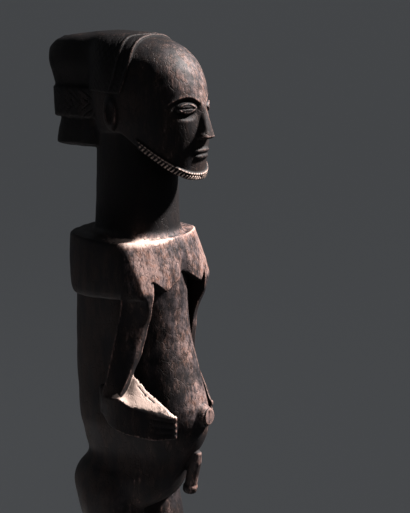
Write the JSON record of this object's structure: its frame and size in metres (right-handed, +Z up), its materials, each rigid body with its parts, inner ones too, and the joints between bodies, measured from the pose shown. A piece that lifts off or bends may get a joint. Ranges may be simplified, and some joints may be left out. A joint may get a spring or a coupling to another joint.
{
  "type": "carved wooden ancestor figure",
  "caption": "Dark carved wooden standing man with hands on his belly, long neck, hair gathered in a cross-shaped knot and a beard along the jaw, on a round base of the same block",
  "frame": {"origin": "centre of the underside of the round base", "axes": "+Z up through the figure, -Y the way the figure faces, -X the figure's own right"},
  "size_m": [0.189, 0.21, 0.772],
  "materials": {
    "dark_wood": "dark oiled patina, worn to brown on the raised edges"
  },
  "bodies": {
    "root": {"ancestor_figure": "dark_wood"}
  },
  "joints": []
}
